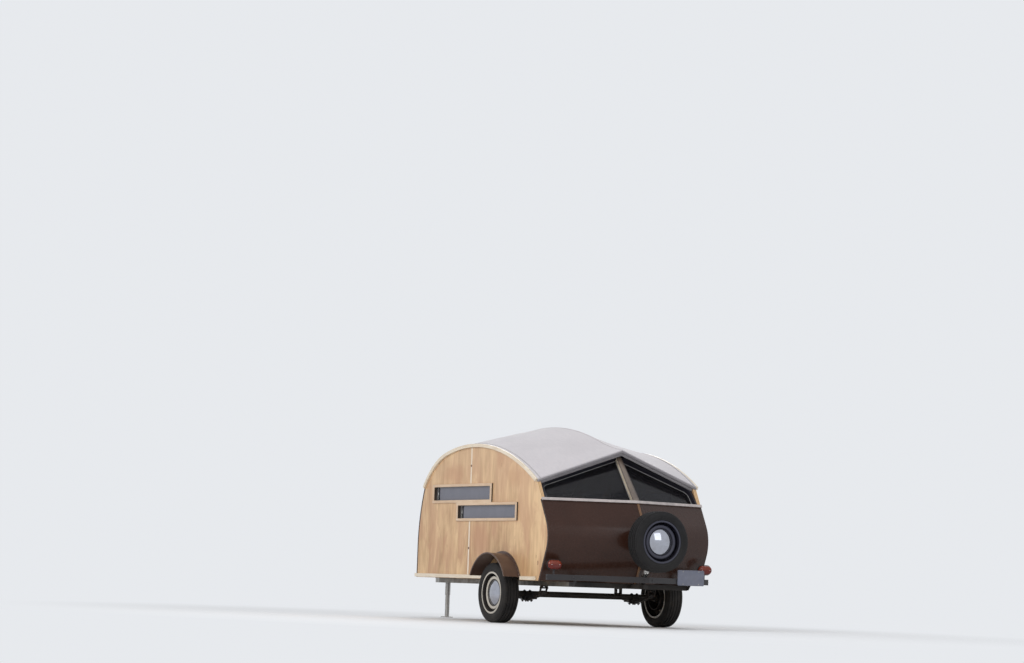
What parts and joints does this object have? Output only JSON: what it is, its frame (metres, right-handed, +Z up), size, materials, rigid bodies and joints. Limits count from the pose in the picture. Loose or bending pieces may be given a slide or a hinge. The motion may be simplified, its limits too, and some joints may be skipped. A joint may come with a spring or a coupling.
{
  "type": "teardrop camping trailer",
  "caption": "Teardrop camping trailer with plywood walls, a glossy vee-shaped stern, gable windows, a pale fabric roof, a spare wheel and a nose jack.",
  "frame": {"origin": "on the ground, half way between the coupler's nose and the spare tyre's outer face, and half way between the two sides", "axes": "+X forward to the coupler, +Y to the left, +Z up"},
  "size_m": [4.9325, 2.176, 2.02],
  "materials": {
    "ply": "satin varnish",
    "dark_panel": "gloss",
    "cream_wood": "satin",
    "roof_cloth": "matt, proofed",
    "inner_wood": "satin",
    "pane": "gloss",
    "frame_metal": "mill finish",
    "brown_guard": "semi-gloss",
    "black_steel": "semi-gloss",
    "bare_steel": "zinc plated",
    "grey_channel": "satin",
    "tyre_rubber": "matt",
    "wheel_paint": "semi-gloss",
    "cap_chrome": "polished",
    "red_lens": "gloss",
    "blank_plate": "satin",
    "bed_cloth": "woven"
  },
  "bodies": {
    "trailer": {"roof_cover": "roof_cloth", "roof_frame": "inner_wood", "side_wall_left": "ply", "side_wall_right": "ply", "front_panels": "dark_panel", "rear_panels": "dark_panel", "gable_frame": "black_steel", "trim_strips": "cream_wood", "edge_mouldings": "cream_wood", "floor_pan": "inner_wood", "window_frames": "cream_wood", "fixed_glass": "pane", "mudguards": "brown_guard", "chassis_frame": "frame_metal", "drawbar": "frame_metal", "coupler": "bare_steel", "jack_tube": "bare_steel", "jack_crank": "bare_steel", "axle_beam": "black_steel", "leaf_springs": "black_steel", "spring_mounts": "black_steel", "bumper": "grey_channel", "tail_lamps": "red_lens", "licence_plate": "blank_plate", "spare_carrier": "bare_steel", "spare_tyre": "tyre_rubber", "spare_wheel": "wheel_paint", "spare_cap": "cap_chrome", "hinge_leaves": "bare_steel", "mattress": "bed_cloth", "cabinet": "inner_wood"},
    "left_road_wheel": {"tyre_left": "tyre_rubber", "wheel_left": "wheel_paint", "cap_left": "cap_chrome", "hub_left": "black_steel"},
    "right_road_wheel": {"tyre_right": "tyre_rubber", "wheel_right": "wheel_paint", "cap_right": "cap_chrome", "hub_right": "black_steel"},
    "side_door": {"door_panel": "ply", "door_window_frame": "cream_wood", "door_glass": "pane", "door_handle": "bare_steel", "door_hinges": "bare_steel"},
    "jack_foot": {"jack_leg": "bare_steel"}
  },
  "joints": [
    {"name": "left_wheel_spin", "type": "hinge", "parent": "trailer", "child": "left_road_wheel", "pos_m": [-0.88375, 0.944, 0.297], "axis": [0, 1, 0], "continuous": true},
    {"name": "right_wheel_spin", "type": "hinge", "parent": "trailer", "child": "right_road_wheel", "pos_m": [-0.88375, -0.944, 0.297], "axis": [0, 1, 0], "continuous": true},
    {"name": "door_swing", "type": "hinge", "parent": "trailer", "child": "side_door", "pos_m": [0.17375, -0.922, 0.99], "axis": [0, 0, 1], "range_deg": [0, 110]},
    {"name": "jack_slide", "type": "slide", "parent": "trailer", "child": "jack_foot", "axis": [0, 0, 1], "range_m": [0, 0.225]}
  ]
}
